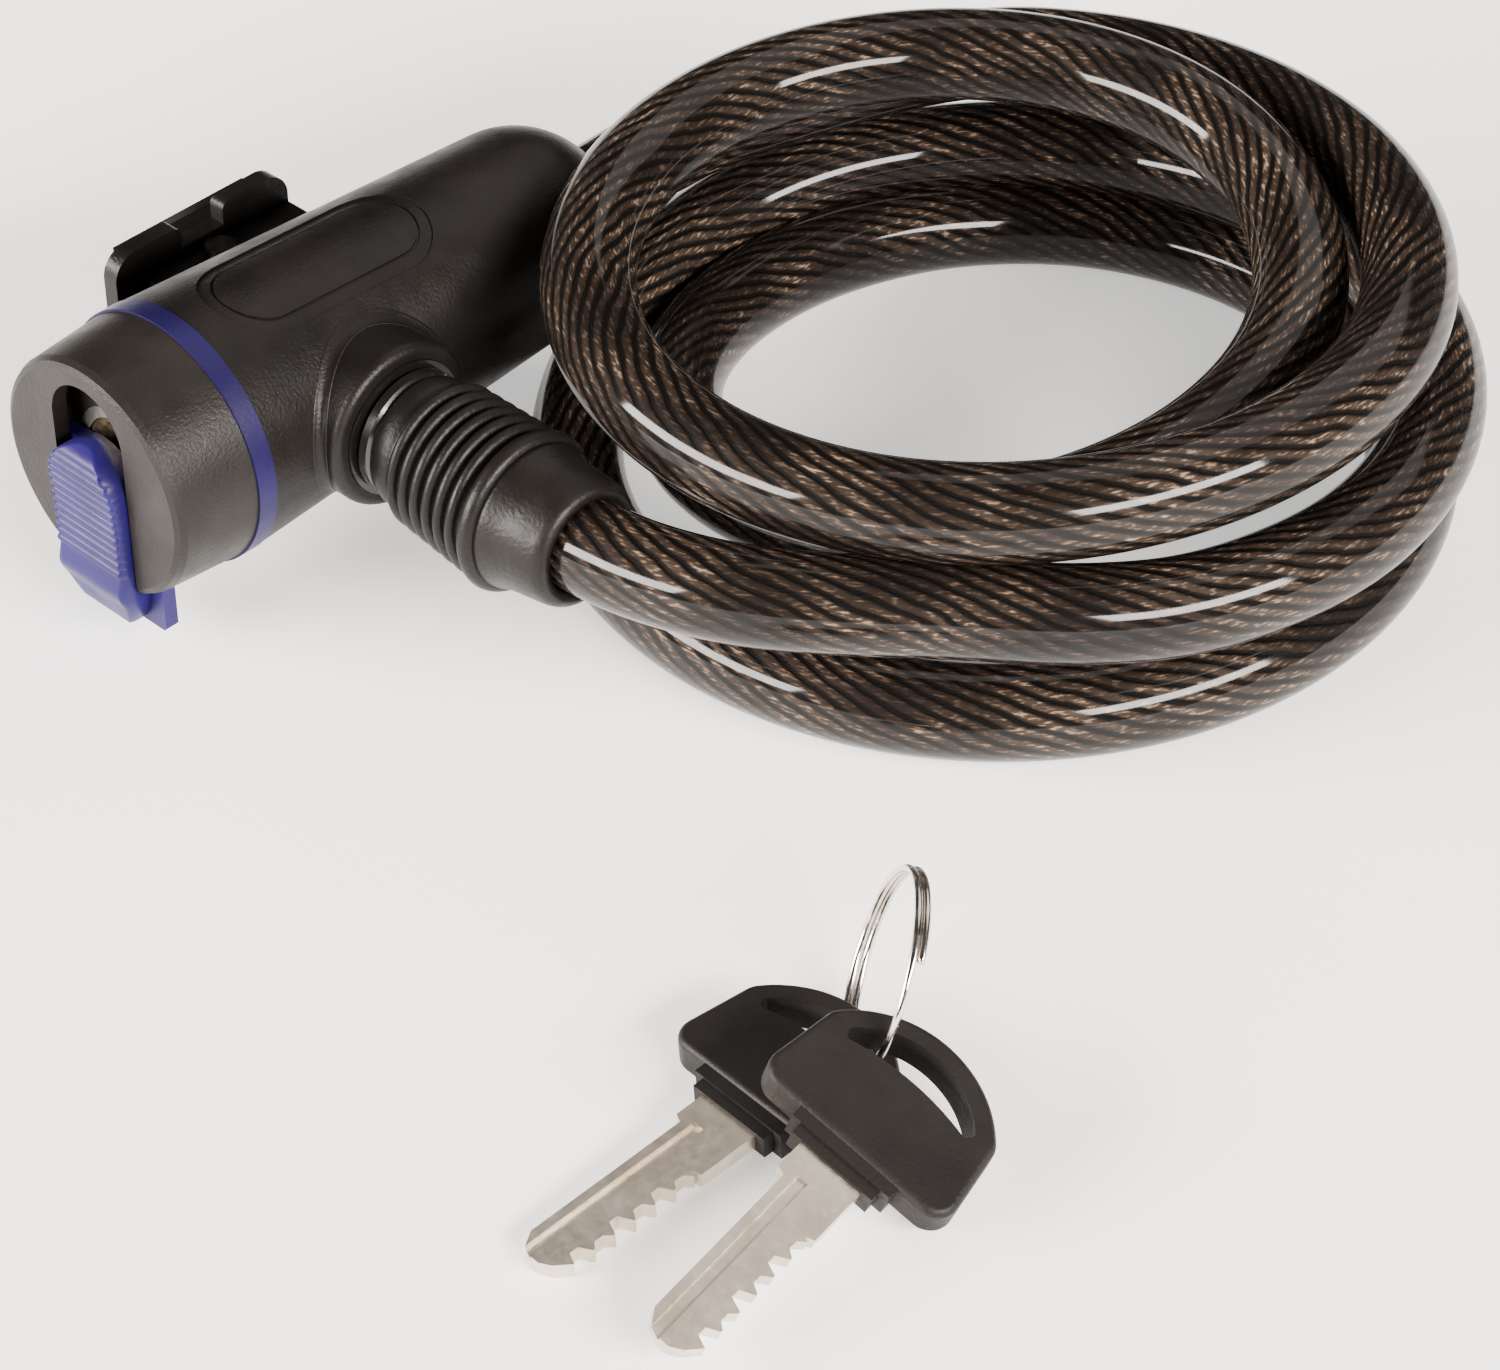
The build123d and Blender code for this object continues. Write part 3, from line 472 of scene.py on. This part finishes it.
def make_slider():
    """The blue dust slider: a ribbed thumb pad in front of a flat guide plate."""
    rows = 170
    loops = []
    for i in range(rows + 1):
        z = PAD_BOTTOM + (PAD_TOP - PAD_BOTTOM) * i / rows
        half, front = pad_half(z), pad_front(z)
        loop = [(PAD_BACK, -half), (front + 0.0012, -half), (front + 0.0005, -half * 0.985)]
        loop += [(front, half * k / 4) for k in (-3.75, -3.4, -2, 0, 2, 3.4, 3.75)]
        loop += [(front + 0.0005, half * 0.985), (front + 0.0012, half), (PAD_BACK, half)]
        loops.append([lock(x, y, z) for x, y in loop])
    pad = loft("slider_pad", loops, BLUE)
    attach(pad, "dust_slider")
    low, high = PAD_BOTTOM - 0.0006, GUIDE_TOP
    wide, narrow = [[(PAD_BACK, -half), (PAD_BACK, half), (GUIDE_BACK, half), (GUIDE_BACK, -half)]
                    for half in (GUIDE_HALF, GUIDE_HALF - GUIDE_EDGE)]
    levels = [(low, narrow), (low + GUIDE_EDGE, wide), (high - GUIDE_EDGE, wide), (high, narrow)]
    guide = loft("slider_guide", [[lock(x, y, z) for x, y in ring] for z, ring in levels], BLUE)
    guide.data.shade_flat()
    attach(guide, "dust_slider")
    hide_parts("dust_slider")


make_slider()

# The plug's rubber: distance from the housing's axis and radius, along an axis that leans a little.
LEAN = [(0.0200, 0.0213), (0.0275, 0.0207), (0.0420, 0.0197), (0.0530, 0.0201)]
FOLDS = 6
FOLD_FIRST = 0.0276
FOLD_PITCH = 0.0023


def plug_axis(out):
    """x of the plug's centre line at a distance from the housing's axis."""
    for (d0, x0), (d1, x1) in zip(LEAN, LEAN[1:]):
        if out <= d1 or (d1, x1) == LEAN[-1]:
            t = (out - d0) / (d1 - d0)
            return x0 + (x1 - x0) * t
    return LEAN[-1][1]


def turned_piece(name, profile, material, sides=96):
    """Closed ring turned about the plug's line from (distance, radius) points, all the way round."""
    loops = []
    for k in range(sides):
        a = TURN * k / sides
        loops.append([lock(plug_axis(d) + r * math.cos(a), -d, AXIS_Z + r * math.sin(a))
                      for d, r in profile])
    return loft(name, loops, material, ring=True)


def rounded(start, end, radius, swell, steps=6):
    """Half round bulge from start to end on a radius, as (distance, radius) points."""
    found = []
    for i in range(steps + 1):
        a = math.pi * i / steps
        distance = (start + end) / 2 - math.cos(a) * (end - start) / 2
        found.append((distance, radius + swell * math.sin(a) ** 0.8))
    return found


COLLAR_PROFILE = [(0.0431, 0.0062), (0.0431, 0.0096), (0.0440, 0.0095), (0.0450, 0.0090), (0.0480, 0.0087),
                  (0.0512, 0.0084), (0.0522, 0.0081), (0.0527, 0.0076), (0.0528, 0.0070), (0.0524, 0.0061)]


def make_sleeve():
    """The plug's rubber bellows and the plain collar behind it."""
    inner = 0.0071
    profile = [(0.0223, 0.0045), (0.0223, 0.0078), (0.0228, 0.0084), (0.0240, 0.0087), (0.0262, 0.0088)]
    for i in range(FOLDS):
        middle = FOLD_FIRST + FOLD_PITCH * i
        profile += rounded(middle - 0.00085, middle + 0.00085, 0.0081 + 0.0001 * i, 0.0016)
    profile += [(0.0406, 0.0090)] + rounded(0.0409, 0.0433, 0.0093, 0.0013, 8)
    profile += [(0.0433, inner), (0.0238, inner), (0.0238, 0.0045)]
    sleeve = turned_piece("sleeve", profile, RUBBER)
    collar = turned_piece("collar", COLLAR_PROFILE, RUBBER)
    for piece, name in ((sleeve, "bellows_sleeve"), (collar, "end_collar")):
        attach(piece, "plug")
        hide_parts(name)
    return [collar, sleeve]


PLUG_RUBBER = make_sleeve()

RING_CENTRE = (0.00034, -0.11829, 0.01199)
RING_NORMAL = Vector((0.645, -0.694, -0.321)).normalized()
RING_R = 0.0115
WIRE_R = 0.00048
RING_FROM, RING_TO = 150, 760    # degrees from the ring's top over its front
STACK = 0.00096                  # step along the ring's axis in one turn


def make_split_ring():
    """Split ring of round wire: more than one and a half turns, with its end standing off."""
    top = (Vector((0, 0, 1)) - RING_NORMAL * RING_NORMAL.z).normalized()
    side = RING_NORMAL.cross(top)
    if side.y > 0:
        side.negate()
    line = []
    steps = 220
    for i in range(steps + 1):
        degrees = RING_FROM + (RING_TO - RING_FROM) * i / steps
        a = math.radians(degrees)
        lift = STACK * (degrees - (RING_FROM + RING_TO) / 2) / 360
        spoke = top * math.cos(a) + side * math.sin(a)
        line.append(lock(*RING_CENTRE) + spoke * RING_R + RING_NORMAL * lift)
    axes = frames(line, RING_NORMAL)
    ring = tube_mesh("split_ring_wire", line, axes, along(line), WIRE_R, 14, RING_STEEL)
    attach(ring, "key_ring")
    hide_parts("split_ring")


make_split_ring()

# ---- the cable ----
COIL_CENTRE = (0.0855, -0.0577)
LEAD = [(0.045, 0.0, 0.024), (0.058, 0.0, 0.024), (0.071, 0.0, 0.024), (0.084, -0.0006, 0.025),
        (0.097, -0.0032, 0.0266)]
# Quarter turns from the back of the coil, clockwise from above, with radius and height there.
TURNS = [(0, 0.0577, 0.0265), (1, 0.0525, 0.0335), (2, 0.0520, 0.0366), (3, 0.0523, 0.0350),
         (4, 0.0458, 0.0369), (5, 0.0405, 0.0369), (6, 0.0380, 0.0290), (7, 0.0380, 0.0170),
         (8, 0.0413, 0.0090), (9, 0.0538, 0.0068), (10, 0.0545, 0.0072), (11, 0.0525, 0.0062),
         (11.7, 0.0515, 0.0076), (12, 0.0520, 0.0130), (13, 0.0548, 0.0184), (14, 0.0584, 0.0226)]
TAIL = [(0.0640, -0.1124, 0.0230), (0.0508, -0.1032, 0.0236), (0.0408, -0.0916, 0.0244),
        (0.0316, -0.0822, 0.0250), (0.0248, -0.0724, 0.0249), (0.0212, -0.0618, 0.0244),
        (0.0201, -0.0525, 0.0240), (0.0198, -0.0440, 0.0240)]
STEPS = 4                # control points for each quarter turn
FIRST_STEP = 2           # the lead reaches the coil's circle half a quarter turn in
CORNER_CUT = 1.0195      # an order 3 spline runs this much inside a ring of 16 points
SPLIT_TURN = 3.2         # turns after which the cable's end piece, which runs to the plug, begins


def slope(i, column):
    """Rate of change of a column of TURNS at a station, from its neighbours."""
    before, after = TURNS[max(i - 1, 0)], TURNS[min(i + 1, len(TURNS) - 1)]
    return (after[column] - before[column]) / (after[0] - before[0])


def station(quarter, column):
    """Smooth value of a column of TURNS at any number of quarter turns."""
    i = max(k for k in range(len(TURNS) - 1) if TURNS[k][0] <= quarter)
    gap = TURNS[i + 1][0] - TURNS[i][0]
    t = (quarter - TURNS[i][0]) / gap
    first, second = TURNS[i][column], TURNS[i + 1][column]
    return ((2 * t ** 3 - 3 * t * t + 1) * first + (3 * t * t - 2 * t ** 3) * second
            + (t ** 3 - 2 * t * t + t) * gap * slope(i, column)
            + (t ** 3 - t * t) * gap * slope(i + 1, column))


def coil_points():
    """Control points of the coil's turns, clockwise from above."""
    points = []
    for k in range(FIRST_STEP, TURNS[-1][0] * STEPS + 1):
        quarter = k / STEPS
        radius = station(quarter, 1) * CORNER_CUT
        a = TURN / 4 * quarter
        points.append((COIL_CENTRE[0] + radius * math.sin(a),
                       COIL_CENTRE[1] + radius * math.cos(a), station(quarter, 2)))
    return points


def split_index(line):
    """Index of the line's point where it has gone SPLIT_TURN turns round the coil."""
    middle = lock(*COIL_CENTRE, 0)
    turned, before = 0.0, None
    for i, point in enumerate(line):
        a = math.atan2(point.x - middle.x, point.y - middle.y)
        if before is not None:
            turned += (a - before + math.pi) % TURN - math.pi
        else:
            turned = a
        before = a
        if turned > TURN * SPLIT_TURN:
            return i
    return len(line) - 1


def make_cable():
    """The whole cable on one line, as a piece fixed to the lock and an end piece that runs to the plug."""
    controls = [lock(*p) for p in LEAD + coil_points() + TAIL]
    line = smooth_line("cable_line", controls, 10)
    axes = frames(line, (0, 0, 1))
    far = along(line)
    cut = split_index(line)
    pieces = []
    for name, part in (("cable_main", slice(0, cut + 1)), ("cable_end", slice(cut, None))):
        pieces.append(tube_mesh(name, line[part], axes[part], far[part], CABLE_R, 32, CABLE, False))
    main, tail = pieces
    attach(main, "lock_body")
    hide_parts("cable_lead", "cable_coil")
    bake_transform(tail)
    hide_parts("cable_tail", "plug_cable")


make_cable()


# ---- floor and lights ----
def make_floor():
    """Plain pale floor that glows a little, so that it stays near white."""
    material, tree, surface = shader("floor", Roughness=0.9, Specular_IOR_Level=0.1,
                                     Emission_Color=(1.0, 0.995, 0.985, 1.0), Emission_Strength=0.65)
    ramp(tree, noise(tree, 6.0), [(0.3, (0.955, 0.955, 0.95)), (0.7, (0.97, 0.97, 0.965))],
         surface.inputs["Base Color"])
    half = 6.0
    floor = mesh_piece("floor", [(-half, -half, 0), (half, -half, 0), (half, half, 0), (-half, half, 0)],
                       [(0, 1, 2, 3)], material, smooth=False)


WARM = (1.0, 0.935, 0.88)


def area_light(name, azimuth, elevation, distance, size, watts, target):
    """A rectangular softbox at an azimuth, anticlockwise from +X, that faces the target."""
    a, e = math.radians(azimuth), math.radians(elevation)
    away = Vector((math.cos(a) * math.cos(e), math.sin(a) * math.cos(e), math.sin(e)))
    data = bpy.data.lights.new(name, "AREA")
    data.shape = "RECTANGLE"
    data.size, data.size_y = size
    data.energy = watts
    data.color = WARM
    light = bpy.data.objects.new(name, data)
    light.location = target + away * distance
    light.rotation_euler = (-away).to_track_quat("-Z", "Y").to_euler()
    bpy.context.collection.objects.link(light)


def make_lights():
    world = bpy.data.worlds.new("world")
    world.use_nodes = True
    sky = world.node_tree.nodes["Background"]
    sky.inputs["Color"].default_value = (1.0, 1.0, 1.0, 1.0)
    sky.inputs["Strength"].default_value = 0.06
    bpy.context.scene.world = world
    target = lock(*COIL_CENTRE, 0.02)
    area_light("strip_left", 153, 18, 1.4, (1.25, 0.34), 84, target)
    area_light("strip_right", -95, 28, 1.4, (1.05, 0.32), 74, target)
    area_light("overhead", 8, 56, 1.5, (1.2, 1.2), 8, target)


make_floor()
make_lights()
